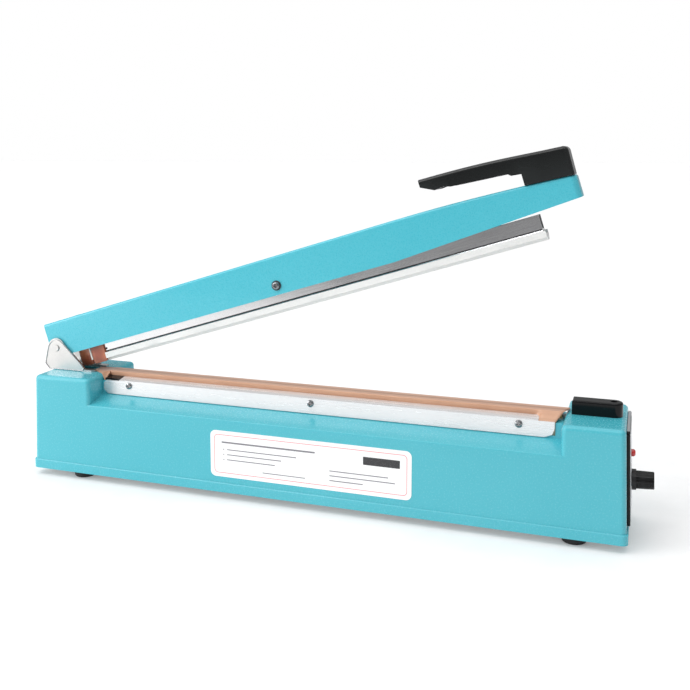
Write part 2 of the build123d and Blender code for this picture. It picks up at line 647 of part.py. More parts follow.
# handle: a hollow paddle over the arm on a foot
with BuildPart() as handle:
    with BuildSketch(arm_side()):
        with BuildLine():
            Polyline((474.0, 21.45), (474.0, 31.0), (466.0, 31.9), (463.5, 34.0), (416.6, 37.9), (412.0, 39.6), (403.0, 38.9), (392.0, 44.4), (391.8, 50.9))
            Spline((391.8, 50.9), (418.0, 50.1), (444.0, 48.7), (470.0, 46.5), (494.0, 44.1), (509.4, 42.7))
            ThreePointArc((509.4, 42.7), (512.5, 41.5), (513.8, 38.4))
            Line((513.8, 38.4), (513.2, 18.85))
            Line((513.2, 18.85), (474.0, 21.45))
        make_face()
    extrude(amount=13.0, both=True)
    rims = handle.edges().filter_by(lambda e: near(abs(e.center().Y), 12.9, 13.1)
                                    and ((e.length > 60 and e.center().Z > arm_pt(450, 0, 44)[2]) or e.center().X > arm_pt(510.5, 0, 30)[0]))
    fillet(rims, radius=3.0)
    # hollow underside with cross ribs
    for a0, a1 in ((405.0, 420.0), (421.6, 436.0), (437.6, 452.0), (453.6, 468.0)):
        with BuildSketch(arm_side()):
            with BuildLine():
                Polyline((a0, 20.0), (a1, 20.0), (a1, 45.6 - (a1 - 405) * 0.03), (a0, 45.6 - (a0 - 405) * 0.03), close=True)
            make_face()
        extrude(amount=10.4, both=True, mode=Mode.SUBTRACT)
    # keep the foot sitting on the arm's curved top
    with BuildSketch(arm_side()):
        with BuildLine():
            Polyline((470.0, 5.0), (520.0, 5.0), (520.0, 18.2))
            Spline((520.0, 18.2), (514.0, 18.65), (470.0, 21.65), tangents=((-1, 0.08), (-1, 0.055)))
            Line((470.0, 21.65), (470.0, 5.0))
        make_face()
    extrude(amount=20, both=True, mode=Mode.SUBTRACT)
    for a in (482.0, 504.0):
        with BuildSketch(arm_up(a, 0, 15)):
            Circle(1.65)
        extrude(amount=17, mode=Mode.SUBTRACT)
with BuildPart() as handle_screws:
    for a, b in ((482.0, 18.6), (504.0, 17.0)):
        add(screw(arm_down(a, 0, b), 3.4, 2.0, 1.6, 12.0))

# rocking pivot of the pressure bar
with BuildPart() as pivot_bush:
    with BuildSketch(arm_front(PIV_X, 10.15, PIV_Z)):
        Circle(3.5)
        Circle(2.1, mode=Mode.SUBTRACT)
    extrude(amount=20.3)
with BuildPart() as pivot_washer:
    with BuildSketch(arm_front(PIV_X, -ARM_HW, PIV_Z)):
        Circle(4.4)
        Circle(2.1, mode=Mode.SUBTRACT)
    extrude(amount=0.8)
with BuildPart() as pivot_screw:
    add(screw(arm_front(PIV_X, -ARM_HW - 0.8, PIV_Z), 3.4, 2.0, 2.0, 29.0, 1.1))
with BuildPart() as pivot_nut:
    with BuildSketch(arm_back(PIV_X, ARM_HW, PIV_Z)):
        RegularPolygon(4.0, 6)
        Circle(2.05, mode=Mode.SUBTRACT)
    extrude(amount=3.0)

# ================================================================ PRESSURE BAR
with BuildPart() as pressure_bar:
    with BuildSketch(arm_section(BAR_X0)):
        with BuildLine():
            Polyline((-8.0, -22.3), (-8.0, -17.2), (-6.0, -16.2), (-6.0, 7.0), (-4.4, 7.0), (-4.4, -15.4), (4.4, -15.4),
                     (4.4, 7.0), (6.0, 7.0), (6.0, -16.2), (8.0, -17.2), (8.0, -22.3), (5.7, -22.3), (5.7, -19.4),
                     (-5.7, -19.4), (-5.7, -22.3), close=True)
        make_face()
    extrude(amount=BAR_X1 - BAR_X0)
    # the upright walls are only needed round the pivot and taper toward the ends
    with BuildSketch(arm_side()):
        with BuildLine():
            Polyline((0, 20), (0, -4.0), (150.0, -4.0), (200.0, 7.05), (285.0, 7.05), (335.0, -4.0), (500.0, -4.0), (500.0, 20), close=True)
        make_face()
    extrude(amount=20, both=True, mode=Mode.SUBTRACT)
    with BuildSketch(arm_side()):
        with Locations((PIV_X, PIV_Z)):
            Circle(3.56)
    extrude(amount=20, both=True, mode=Mode.SUBTRACT)
with BuildPart() as silicone_strip:
    with BuildSketch(arm_section(BAR_X0)):
        with Locations((0, (SIL_BOT - 19.5) / 2)):
            Rectangle(11.2, -SIL_BOT - 19.5)
    extrude(amount=BAR_X1 - BAR_X0 + 2.0)
    fillet(silicone_strip.edges().filter_by(lambda e: e.length > 300).filter_by(lambda e: e.center().Z < arm_pt(263.5, 0, -22)[2]), radius=0.8)
# phenolic end block on the hinge end of the bar
with BuildPart() as bar_end_block:
    with BuildSketch(arm_side()):
        with BuildLine():
            Polyline((33.0, -9.0), (33.0, -24.2), (34.5, -25.2), (46.2, -25.2), (47.55, -23.8), (47.55, -9.0), close=True)
        make_face()
    extrude(amount=7.6, both=True)
    with BuildSketch(arm_section(32.0)):
        with Locations((-4.6, -17.6), (4.6, -17.6)):
            Circle(1.1)
    extrude(amount=20, mode=Mode.SUBTRACT)

# ================================================================ TIMER KNOB
with BuildPart() as timer_knob:
    with BuildSketch(panel(0, 39.2, 3.2)):
        Circle(8.3)
    extrude(amount=3.4)
    with BuildSketch(panel(0, 39.2, 6.6)):
        Circle(7.2)
    extrude(amount=13.7, taper=1.2)
    fillet(timer_knob.edges().sort_by(Axis.X)[-1], radius=0.8)
    with Locations(panel(0, 39.2, 0)):
        with PolarLocations(7.4, 18):
            Box(0.9, 0.9, 36.0, mode=Mode.SUBTRACT)
    with BuildSketch(panel(0, 39.2, 0)):
        Circle(6.6)
    extrude(amount=6.6, mode=Mode.SUBTRACT)
    with BuildSketch(panel(0, 39.2, 0)):
        Circle(3.0)
    extrude(amount=14.6, mode=Mode.SUBTRACT)
with BuildPart() as timer_shaft:
    with BuildSketch(panel(0, 39.2, -9.6)):
        Circle(3.0)
    extrude(amount=24.2)

# ================================================================ write the pieces
os.makedirs("parts", exist_ok=True)
pieces = {
    "base_housing": base_housing, "bottom_plate": bottom_plate, "rubber_feet": rubber_feet, "foot_screws": foot_screws,
    "sealing_bed": sealing_bed, "bed_screws": bed_screws, "insulation_strip": insulation_strip,
    "heating_element": heating_element, "element_terminals": element_terminals, "terminal_bushes": terminal_bushes,
    "element_insulator": element_insulator, "ptfe_cloth": ptfe_cloth, "front_clamp_strip": front_clamp_strip,
    "rear_clamp_strip": rear_clamp_strip, "clamp_screws_front": clamp_screws_front, "clamp_screws_rear": clamp_screws_rear,
    "hinge_bracket": hinge_bracket, "bracket_screws": bracket_screws, "hinge_pin": hinge_pin, "pin_clip": pin_clip,
    "torsion_spring": torsion_spring, "guide_block": guide_block, "guide_block_screw": guide_block_screw,
    "front_label": front_label, "control_panel": control_panel, "scale_plate": scale_plate, "lamp_lens": lamp_lens,
    "lamp_holder": lamp_holder, "potentiometer": potentiometer, "pot_nut": pot_nut, "timer_board": timer_board,
    "board_components": board_components, "board_brackets": board_brackets, "transformer_core": transformer_core,
    "transformer_coil": transformer_coil, "transformer_strap": transformer_strap, "transformer_screws": transformer_screws,
    "microswitch": microswitch, "switch_plunger": switch_plunger, "switch_bracket": switch_bracket,
    "cord_grommet": cord_grommet, "arm_channel": arm_channel, "switch_pusher": switch_pusher, "pusher_screw": pusher_screw,
    "handle": handle, "handle_screws": handle_screws, "pivot_bush": pivot_bush, "pivot_washer": pivot_washer,
    "pivot_screw": pivot_screw, "pivot_nut": pivot_nut, "pressure_bar": pressure_bar, "silicone_strip": silicone_strip,
    "bar_end_block": bar_end_block, "timer_knob": timer_knob, "timer_shaft": timer_shaft,
}
for name, piece in pieces.items():
    piece.part.label = name
    export_step(piece.part, f"parts/{name}.step")
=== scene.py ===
import math
import random

import bmesh
import bpy
from mathutils import Matrix, Vector


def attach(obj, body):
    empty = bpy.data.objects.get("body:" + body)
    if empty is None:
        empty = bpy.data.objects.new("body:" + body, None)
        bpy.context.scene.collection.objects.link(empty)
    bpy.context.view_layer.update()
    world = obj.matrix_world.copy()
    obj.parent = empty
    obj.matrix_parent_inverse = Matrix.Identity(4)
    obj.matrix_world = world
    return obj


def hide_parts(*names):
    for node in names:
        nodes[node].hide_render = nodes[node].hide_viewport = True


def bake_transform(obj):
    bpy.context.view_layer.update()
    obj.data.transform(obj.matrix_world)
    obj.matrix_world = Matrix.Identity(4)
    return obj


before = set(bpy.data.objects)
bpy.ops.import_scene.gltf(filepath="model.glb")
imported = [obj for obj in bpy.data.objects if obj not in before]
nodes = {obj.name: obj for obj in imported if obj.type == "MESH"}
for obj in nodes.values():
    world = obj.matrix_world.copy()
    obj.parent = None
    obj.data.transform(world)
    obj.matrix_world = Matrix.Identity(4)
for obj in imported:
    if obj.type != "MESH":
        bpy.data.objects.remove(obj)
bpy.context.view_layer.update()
node_slot = {n: (o.material_slots[0].material.name.split(".")[0] if o.material_slots else "") for n, o in nodes.items()}
scene = bpy.context.scene
MM = 0.001
OX = -5.57
BX1 = 270.0
ZB = 7.0
PIN_X, PIN_Z = -262.4, 118.0
OPEN = math.radians(17.44)
CO, SO = math.cos(OPEN), math.sin(OPEN)
DR = math.radians(2.0)


def arm_pt(a, y, b):
    """A point in the stored arm: a along it from the pin, b square to it, in mm."""
    return Vector((OX + PIN_X + a * CO - b * SO, y, PIN_Z + a * SO + b * CO)) * MM


def panel_pt(u, v, w):
    """A point on the drafted control end: u across, v up, w out of the wall, in mm."""
    return Vector((OX + BX1 - v * math.sin(DR) + w * math.cos(DR), u, ZB + v * math.cos(DR) + w * math.sin(DR))) * MM


# ------------------------------------------------------------------ camera
cam_data = bpy.data.cameras.new("view_camera")
cam = bpy.data.objects.new("view_camera", cam_data)
scene.collection.objects.link(cam)
scene.camera = cam
cam.location = ((274.567 + OX) * MM, -0.722586, 0.305860)
cam.rotation_euler = (math.radians(90 - 6.35), 0, 0.32777)
cam_data.sensor_fit = "HORIZONTAL"
cam_data.sensor_width = 36
cam_data.lens = 46.15
cam_data.shift_y = -0.13497
cam_data.clip_start = 0.01
cam_data.clip_end = 100


# ------------------------------------------------------------------ materials
def lin(r, g, b):
    """sRGB 0-255 to linear."""
    out = []
    for c in (r, g, b):
        c /= 255
        out.append(c / 12.92 if c <= 0.04045 else ((c + 0.055) / 1.055) ** 2.4)
    return (*out, 1.0)


def base_material(name):
    m = bpy.data.materials.new(name)
    m.use_nodes = True
    nt = m.node_tree
    nt.nodes.clear()
    out = nt.nodes.new("ShaderNodeOutputMaterial")
    b = nt.nodes.new("ShaderNodeBsdfPrincipled")
    nt.links.new(b.outputs["BSDF"], out.inputs["Surface"])
    return m, nt, b


def node(nt, kind, **values):
    n = nt.nodes.new(kind)
    for k, v in values.items():
        if hasattr(n, k) and k not in n.inputs:
            setattr(n, k, v)
        else:
            n.inputs[k.replace("_", " ")].default_value = v
    return n


def coords(nt, stretch=(1, 1, 1), turn=(0, 0, 0)):
    tc = nt.nodes.new("ShaderNodeTexCoord")
    mp = nt.nodes.new("ShaderNodeMapping")
    mp.vector_type = "TEXTURE" if turn != (0, 0, 0) else "POINT"
    if turn != (0, 0, 0):
        mp.inputs["Rotation"].default_value = turn
        mp2 = nt.nodes.new("ShaderNodeMapping")
        mp2.inputs["Scale"].default_value = stretch
        nt.links.new(tc.outputs["Object"], mp.inputs["Vector"])
        nt.links.new(mp.outputs["Vector"], mp2.inputs["Vector"])
        return mp2.outputs["Vector"]
    mp.inputs["Scale"].default_value = stretch
    nt.links.new(tc.outputs["Object"], mp.inputs["Vector"])
    return mp.outputs["Vector"]


def noise(nt, vector, scale, detail=4.0, rough=0.55):
    n = nt.nodes.new("ShaderNodeTexNoise")
    n.inputs["Scale"].default_value = scale
    n.inputs["Detail"].default_value = detail
    n.inputs["Roughness"].default_value = rough
    nt.links.new(vector, n.inputs["Vector"])
    return n.outputs["Fac"]


def ranged(nt, fac, lo, hi, a=0.3, b=0.7):
    r = nt.nodes.new("ShaderNodeMapRange")
    r.inputs["From Min"].default_value = a
    r.inputs["From Max"].default_value = b
    r.inputs["To Min"].default_value = lo
    r.inputs["To Max"].default_value = hi
    nt.links.new(fac, r.inputs["Value"])
    return r.outputs["Result"]


def mixed(nt, fac, c1, c2):
    x = nt.nodes.new("ShaderNodeMix")
    x.data_type = "RGBA"
    for i, c in ((6, c1), (7, c2)):
        if isinstance(c, tuple):
            x.inputs[i].default_value = c
        else:
            nt.links.new(c, x.inputs[i])
    if isinstance(fac, float):
        x.inputs[0].default_value = fac
    else:
        nt.links.new(fac, x.inputs[0])
    return x.outputs[2]


def bumped(nt, height, strength, distance, normal=None):
    b = nt.nodes.new("ShaderNodeBump")
    b.inputs["Strength"].default_value = strength
    b.inputs["Distance"].default_value = distance
    nt.links.new(height, b.inputs["Height"])
    if normal is not None:
        nt.links.new(normal, b.inputs["Normal"])
    return b.outputs["Normal"]


def finish(name, c1, c2, rough=(0.3, 0.4), metal=0.0, fine=900.0, broad=14.0, stretch=(1, 1, 1), turn=(0, 0, 0),
           bump=0.0, depth=0.0001, coat=0.0, coat_rough=0.1, ior=1.5, edge_wear_and_highlight=None, dark=None, sss=0.0, trans=0.0, aniso=0.0,
           spec=0.5, speck=0.35):
    """A procedural surface: broad and fine colour drift, uneven gloss, fine relief, edges lighter, partly rubbed wear
    and partly painted highlight.
    """
    m, nt, b = base_material(name)
    v = coords(nt, stretch, turn)
    flat = coords(nt)
    f = noise(nt, v, fine)
    w = noise(nt, flat, broad, 3.0)
    col = mixed(nt, ranged(nt, w, 0.0, 1.0), c1, c2)
    col = mixed(nt, ranged(nt, f, 0.0, speck), col, tuple(min(1.0, x * 1.12) for x in c2[:3]) + (1.0,))
    if dark is not None:
        d = noise(nt, flat, dark[1], 5.0, 0.7)
        col = mixed(nt, ranged(nt, d, 0.0, dark[2], 0.58, 0.8), col, dark[0])
    # lighter on sharp convex edges by pointiness: partly rubbed wear, partly painted highlight
    if edge_wear_and_highlight is not None:
        g = nt.nodes.new("ShaderNodeNewGeometry")
        col = mixed(nt, ranged(nt, g.outputs["Pointiness"], 0.0, edge_wear_and_highlight[1], 0.51, 0.60), col, edge_wear_and_highlight[0])
    nt.links.new(col, b.inputs["Base Color"])
    nt.links.new(ranged(nt, f, rough[0], rough[1]), b.inputs["Roughness"])
    b.inputs["Metallic"].default_value = metal
    b.inputs["IOR"].default_value = ior
    b.inputs["Specular IOR Level"].default_value = spec
    b.inputs["Coat Weight"].default_value = coat
    b.inputs["Coat Roughness"].default_value = coat_rough
    b.inputs["Anisotropic"].default_value = aniso
    if sss:
        b.inputs["Subsurface Weight"].default_value = sss
        b.inputs["Subsurface Radius"].default_value = (0.002, 0.002, 0.002)
        b.inputs["Subsurface Scale"].default_value = 1.0
    if trans:
        b.inputs["Transmission Weight"].default_value = trans
    if bump:
        nt.links.new(bumped(nt, f, bump, depth), b.inputs["Normal"])
    return m


TEAL = (0.070, 0.450, 0.535, 1)
TEAL2 = (0.082, 0.470, 0.555, 1)
M = {}
# sprayed enamel over a casting: faint broad and fine colour drift under a glossy coat
M["body_paint"] = finish("body_paint", TEAL, TEAL2, (0.26, 0.28), fine=700, broad=9, bump=0.0, depth=0.0001, coat=0.25,
                         coat_rough=0.05, spec=0.40, speck=0.04)


def hammered(name, c1, c2):
    """Hammered enamel: soft cells a few millimetres across over the orange peel."""
    m, nt, b = base_material(name)
    v = coords(nt)
    cell = nt.nodes.new("ShaderNodeTexVoronoi")
    cell.feature = "SMOOTH_F1"
    cell.inputs["Scale"].default_value = 330
    cell.inputs["Smoothness"].default_value = 0.9
    warp = nt.nodes.new("ShaderNodeTexNoise")
    warp.inputs["Scale"].default_value = 160
    nt.links.new(v, warp.inputs["Vector"])
    add = nt.nodes.new("ShaderNodeVectorMath")
    add.operation = "MULTIPLY_ADD"
    nt.links.new(warp.outputs["Color"], add.inputs[0])
    add.inputs[1].default_value = (0.006, 0.006, 0.006)
    nt.links.new(v, add.inputs[2])
    nt.links.new(add.outputs["Vector"], cell.inputs["Vector"])
    broad = noise(nt, v, 7, 3.0)
    fine = noise(nt, v, 900, 3.0)
    col = mixed(nt, ranged(nt, broad, 0.0, 1.0), c1, c2)
    col = mixed(nt, ranged(nt, cell.outputs["Distance"], 0.0, 0.16, 0.1, 0.9), col, (0.14, 0.60, 0.70, 1))
    nt.links.new(col, b.inputs["Base Color"])
    nt.links.new(ranged(nt, fine, 0.24, 0.34), b.inputs["Roughness"])
    b.inputs["Coat Weight"].default_value = 0.3
    b.inputs["Coat Roughness"].default_value = 0.08
    b.inputs["Specular IOR Level"].default_value = 0.42
    n = bumped(nt, cell.outputs["Distance"], 0.22, 0.0006)
    nt.links.new(bumped(nt, fine, 0.03, 0.0001, n), b.inputs["Normal"])
    return m


M["arm_paint"] = hammered("arm_paint", (0.078, 0.500, 0.605, 1), (0.060, 0.478, 0.585, 1))
# edge colours given below go on convex edges: partly rubbed wear, partly painted highlight
M["zinc_steel"] = finish("zinc_steel", lin(176, 178, 180), lin(196, 198, 198), (0.28, 0.42), 1.0, fine=600, bump=0.05, edge_wear_and_highlight=(lin(225, 225, 225), 0.4))
M["bracket_steel"] = finish("bracket_steel", lin(186, 186, 185), lin(200, 199, 197), (0.32, 0.40), 1.0, fine=700, broad=40, bump=0.0,
                            depth=0.00005, dark=(lin(150, 148, 146), 260, 0.10))
M["chrome_screw"] = finish("chrome_screw", lin(132, 133, 135), lin(158, 159, 161), (0.14, 0.24), 1.0, fine=1200, bump=0.03)
M["stainless"] = finish("stainless", lin(228, 229, 230), lin(236, 236, 237), (0.25, 0.28), 0.6, fine=700, broad=10,
                        stretch=(0.02, 1, 1), bump=0.0, depth=0.00003, aniso=0.25, speck=0.06)
M["aluminium"] = finish("aluminium", lin(196, 198, 200), lin(212, 214, 216), (0.28, 0.40), 1.0, fine=1200, stretch=(0.06, 1, 1), bump=0.05)
M["bar_aluminium"] = finish("bar_aluminium", lin(212, 212, 213), lin(224, 224, 225), (0.14, 0.22), 1.0, fine=1500, broad=12,
                            stretch=(0.02, 1, 1), turn=(0, -OPEN, 0), bump=0.03, depth=0.00003, aniso=0.3)
M["black_oxide"] = finish("black_oxide", lin(22, 22, 24), lin(34, 34, 36), (0.35, 0.5), 0.6, fine=900, bump=0.08, edge_wear_and_highlight=(lin(90, 90, 92), 0.5))
M["brass"] = finish("brass", lin(196, 158, 84), lin(210, 174, 98), (0.25, 0.38), 1.0, fine=800, bump=0.04, dark=(lin(120, 84, 40), 200, 0.4))
M["nichrome"] = finish("nichrome", lin(150, 144, 138), lin(170, 165, 158), (0.3, 0.42), 1.0, fine=900, stretch=(0.1, 1, 1))
M["spring_steel"] = finish("spring_steel", lin(128, 130, 134), lin(150, 152, 156), (0.24, 0.36), 1.0, fine=900, bump=0.05)
M["core_iron"] = finish("core_iron", lin(96, 98, 102), lin(116, 118, 122), (0.4, 0.55), 0.9, fine=300, stretch=(1, 14, 1), bump=0.4, depth=0.0003,
                        dark=(lin(92, 56, 34), 90, 0.5))
M["coil_wrap"] = finish("coil_wrap", lin(206, 178, 96), lin(218, 190, 108), (0.3, 0.42), fine=220, stretch=(0.2, 0.2, 4), bump=0.3, depth=0.0003, coat=0.3)
M["black_rubber"] = finish("black_rubber", lin(20, 20, 21), lin(29, 29, 30), (0.6, 0.75), fine=1300, bump=0.18, depth=0.0001, dark=(lin(78, 76, 72), 60, 0.25))
M["black_plastic"] = finish("black_plastic", lin(9, 10, 11), lin(15, 16, 17), (0.08, 0.14), fine=900, bump=0.02, depth=0.00004, coat=0.0,
                            coat_rough=0.05, spec=0.22)
M["handle_plastic"] = finish("handle_plastic", lin(8, 10, 10), lin(13, 16, 16), (0.16, 0.26), fine=1500, bump=0.05, depth=0.00006,
                             spec=0.45, edge_wear_and_highlight=(lin(58, 62, 62), 0.3))
M["knob_plastic"] = finish("knob_plastic", lin(9, 9, 10), lin(15, 15, 16), (0.18, 0.26), fine=1400, bump=0.04, depth=0.00006,
                           spec=0.22, edge_wear_and_highlight=(lin(78, 78, 80), 0.35))
M["component_black"] = finish("component_black", lin(26, 26, 28), lin(36, 36, 38), (0.4, 0.5), fine=700, bump=0.05)
M["switch_red"] = finish("switch_red", lin(150, 26, 22), lin(168, 34, 28), (0.3, 0.4), fine=900, bump=0.04)
M["white_nylon"] = finish("white_nylon", lin(226, 224, 216), lin(234, 232, 226), (0.4, 0.5), fine=900, bump=0.05, sss=0.05)
M["board_green"] = finish("board_green", lin(24, 84, 48), lin(30, 98, 56), (0.25, 0.35), fine=300, bump=0.10, coat=0.4)
M["lamp_red"] = finish("lamp_red", lin(196, 22, 26), lin(214, 34, 34), (0.10, 0.18), fine=500, broad=160, coat=0.8, coat_rough=0.04, trans=0.15)
M["silicone_white"] = finish("silicone_white", lin(226, 226, 224), lin(236, 236, 234), (0.42, 0.55), fine=900, broad=30, bump=0.08, sss=0.06)
M["label_film"] = finish("label_film", lin(247, 246, 246), lin(251, 250, 250), (0.16, 0.24), fine=1500, broad=20, bump=0.02, coat=0.5, coat_rough=0.06)
M["scale_film"] = finish("scale_film", lin(196, 199, 202), lin(208, 211, 214), (0.28, 0.36), 0.85, fine=1500, stretch=(1, 0.04, 1), bump=0.04, aniso=0.2)


def phenolic(name):
    """Paper-laminate sheet: reddish brown with fine layers, with painted shade darkening it towards the bottom."""
    m, nt, b = base_material(name)
    v = coords(nt, (1, 1, 1), (0, -OPEN, 0))
    wave = nt.nodes.new("ShaderNodeTexWave")
    wave.wave_type = "BANDS"
    wave.bands_direction = "X"
    wave.inputs["Scale"].default_value = 520
    wave.inputs["Distortion"].default_value = 3.0
    wave.inputs["Detail"].default_value = 3.0
    nt.links.new(v, wave.inputs["Vector"])
    blot = noise(nt, coords(nt), 60, 4.0)
    col = mixed(nt, ranged(nt, blot, 0.0, 1.0, 0.35, 0.65), lin(214, 124, 80), lin(166, 82, 56))
    col = mixed(nt, ranged(nt, wave.outputs["Fac"], 0.0, 0.35, 0.2, 0.9), col, lin(74, 32, 24))
    sep = nt.nodes.new("ShaderNodeSeparateXYZ")
    nt.links.new(coords(nt), sep.inputs[0])
    # painted shade: the sheet darkens to near black towards its bottom edge
    bottom_shade = nt.nodes.new("ShaderNodeMapRange")
    bottom_shade.inputs["From Min"].default_value = 0.112
    bottom_shade.inputs["From Max"].default_value = 0.098
    nt.links.new(sep.outputs["Z"], bottom_shade.inputs["Value"])
    col = mixed(nt, bottom_shade.outputs["Result"], col, lin(40, 22, 18))
    nt.links.new(col, b.inputs["Base Color"])
    nt.links.new(ranged(nt, blot, 0.26, 0.40), b.inputs["Roughness"])
    nt.links.new(bumped(nt, wave.outputs["Fac"], 0.12, 0.00008), b.inputs["Normal"])
    b.inputs["Coat Weight"].default_value = 0.3
    return m


M["phenolic"] = phenolic("phenolic")


def coated_cloth(name):
    """Woven glass cloth coated with fluoropolymer: tan, slightly waxy, fine plain weave, a darker band along the top
    over the element.
    """
    m, nt, b = base_material(name)
    tc = nt.nodes.new("ShaderNodeTexCoord")
    sep = nt.nodes.new("ShaderNodeSeparateXYZ")
    nt.links.new(tc.outputs["Object"], sep.inputs[0])

    def sine(socket, pitch):
        k = nt.nodes.new("ShaderNodeMath")
        k.operation = "MULTIPLY"
        k.inputs[1].default_value = 2 * math.pi / pitch
        nt.links.new(socket, k.inputs[0])
        s = nt.nodes.new("ShaderNodeMath")
        s.operation = "SINE"
        nt.links.new(k.outputs[0], s.inputs[0])
        return s.outputs[0]

    yz = nt.nodes.new("ShaderNodeMath")
    yz.operation = "ADD"
    nt.links.new(sep.outputs["Y"], yz.inputs[0])
    nt.links.new(sep.outputs["Z"], yz.inputs[1])
    weave = nt.nodes.new("ShaderNodeMath")
    weave.operation = "MULTIPLY"
    nt.links.new(sine(sep.outputs["X"], 0.0009), weave.inputs[0])
    nt.links.new(sine(yz.outputs[0], 0.0009), weave.inputs[1])
    wide = coords(nt)
    blot = noise(nt, wide, 30, 4.0)
    streak = noise(nt, coords(nt, (0.06, 1, 1)), 420, 3.0)
    col = mixed(nt, ranged(nt, blot, 0.0, 1.0), lin(204, 156, 126), lin(214, 168, 138))
    col = mixed(nt, ranged(nt, streak, 0.0, 0.35), col, lin(176, 126, 96))
    col = mixed(nt, ranged(nt, weave.outputs[0], 0.0, 0.16, -0.6, 0.9), col, lin(160, 110, 80))
    # darker band along the top where the element lies underneath
    a = nt.nodes.new("ShaderNodeMath")
    a.operation = "ABSOLUTE"
    nt.links.new(sep.outputs["Y"], a.inputs[0])
    track = ranged(nt, a.outputs[0], 0.55, 0.0, 0.0012, 0.0026)
    top = ranged(nt, sep.outputs["Z"], 0.0, 1.0, 0.0978, 0.0983)
    both = nt.nodes.new("ShaderNodeMath")
    both.operation = "MULTIPLY"
    nt.links.new(track, both.inputs[0])
    nt.links.new(top, both.inputs[1])
    col = mixed(nt, both.outputs[0], col, lin(138, 92, 66))
    nt.links.new(col, b.inputs["Base Color"])
    nt.links.new(ranged(nt, streak, 0.28, 0.40), b.inputs["Roughness"])
    b.inputs["Sheen Weight"].default_value = 0.25
    b.inputs["Sheen Roughness"].default_value = 0.4
    b.inputs["Coat Weight"].default_value = 0.25
    b.inputs["Coat Roughness"].default_value = 0.25
    n = bumped(nt, weave.outputs[0], 0.20, 0.00005)
    nt.links.new(bumped(nt, streak, 0.10, 0.0001, n), b.inputs["Normal"])
    return m


M["ptfe_tan"] = coated_cloth("ptfe_tan")

for name, o in nodes.items():
    mat = M[node_slot[name]]
    for ms in o.material_slots:
        ms.material = mat


# ------------------------------------------------------------------ piece helpers
def make(name, verts, faces, mat, body, smooth=None, bevel=None):
    me = bpy.data.meshes.new(name)
    me.from_pydata([tuple(v) for v in verts], [], faces)
    me.update()
    bm = bmesh.new()
    bm.from_mesh(me)
    bmesh.ops.remove_doubles(bm, verts=bm.verts, dist=1e-7)
    bmesh.ops.recalc_face_normals(bm, faces=bm.faces)
    bm.to_mesh(me)
    bm.free()
    o = bpy.data.objects.new(name, me)
    scene.collection.objects.link(o)
    me.materials.append(mat)
    if bevel:
        bv = o.modifiers.new("edge", "BEVEL")
        bv.width = bevel * MM
        bv.segments = 3
        bv.limit_method = "ANGLE"
        bv.angle_limit = math.radians(35)
    if smooth is not None:
        for p in me.polygons:
            p.use_smooth = True
        if smooth < 180:
            me.set_sharp_from_angle(angle=math.radians(smooth))
    if body:
        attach(o, body)
    return o


def tube(points, radius, sides=14):
    """Verts and faces of a closed round wire along the points."""
    pts = [Vector(p) for p in points]
    verts, faces = [], []
    t = (pts[1] - pts[0]).normalized()
    up = t.orthogonal().normalized()
    for i, p in enumerate(pts):
        d = (pts[min(i + 1, len(pts) - 1)] - pts[max(i - 1, 0)]).normalized()
        up = (up - d * up.dot(d)).normalized()
        side = d.cross(up)
        for k in range(sides):
            a = 2 * math.pi * k / sides
            verts.append(p + (up * math.cos(a) + side * math.sin(a)) * radius)
    for i in range(len(pts) - 1):
        for k in range(sides):
            j = (k + 1) % sides
            faces.append((i * sides + k, i * sides + j, (i + 1) * sides + j, (i + 1) * sides + k))
    faces.append(tuple(range(sides))[::-1])
    faces.append(tuple((len(pts) - 1) * sides + k for k in range(sides)))
    return verts, faces


def smoothstep(t):
    t = max(0.0, min(1.0, t))
    return t * t * (3 - 2 * t)


